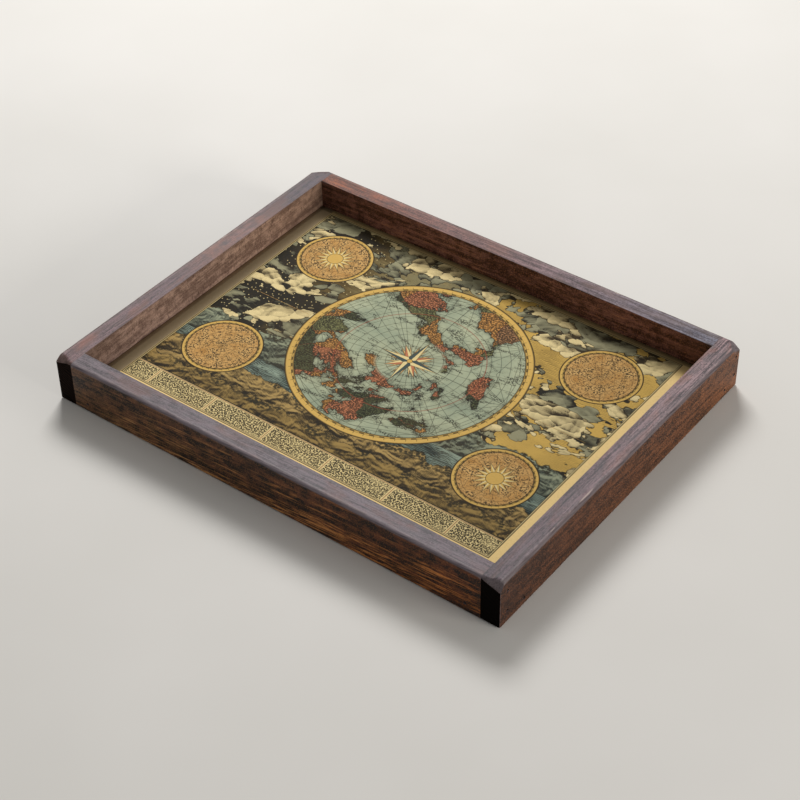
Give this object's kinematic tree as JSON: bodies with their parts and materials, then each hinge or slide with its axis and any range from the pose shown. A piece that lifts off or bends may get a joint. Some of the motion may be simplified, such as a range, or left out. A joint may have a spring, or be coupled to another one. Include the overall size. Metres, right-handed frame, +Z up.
{
  "type": "wooden serving tray",
  "caption": "Rectangular dark-stained wooden serving tray with plain nailed rails around a flat printed base, for carrying and setting out small things.",
  "frame": {"origin": "middle of the underside, on the surface that the tray stands on", "axes": "+X along the front rail to the right, +Y to the back rail, +Z up out of the well"},
  "size_m": [0.482, 0.374, 0.048],
  "materials": {
    "stained_wood": "dark brown stain under a satin clear coat",
    "panel_board": "brown stain, matt",
    "printed_paper": "printed paper sealed with a satin clear coat",
    "brad_steel": "dulled plain steel"
  },
  "bodies": {
    "root": {"front_rail": "stained_wood", "back_rail": "stained_wood", "left_rail": "stained_wood", "right_rail": "stained_wood", "base_panel": "panel_board", "printed_sheet": "printed_paper", "corner_brad_front_left_low": "brad_steel", "corner_brad_front_left_high": "brad_steel", "corner_brad_front_right_low": "brad_steel", "corner_brad_front_right_high": "brad_steel", "corner_brad_back_left_low": "brad_steel", "corner_brad_back_left_high": "brad_steel", "corner_brad_back_right_low": "brad_steel", "corner_brad_back_right_high": "brad_steel", "panel_brad_front_left": "brad_steel", "panel_brad_front_right": "brad_steel", "panel_brad_back_left": "brad_steel", "panel_brad_back_right": "brad_steel", "panel_brad_left_front": "brad_steel", "panel_brad_left_back": "brad_steel", "panel_brad_right_front": "brad_steel", "panel_brad_right_back": "brad_steel"}
  },
  "joints": []
}
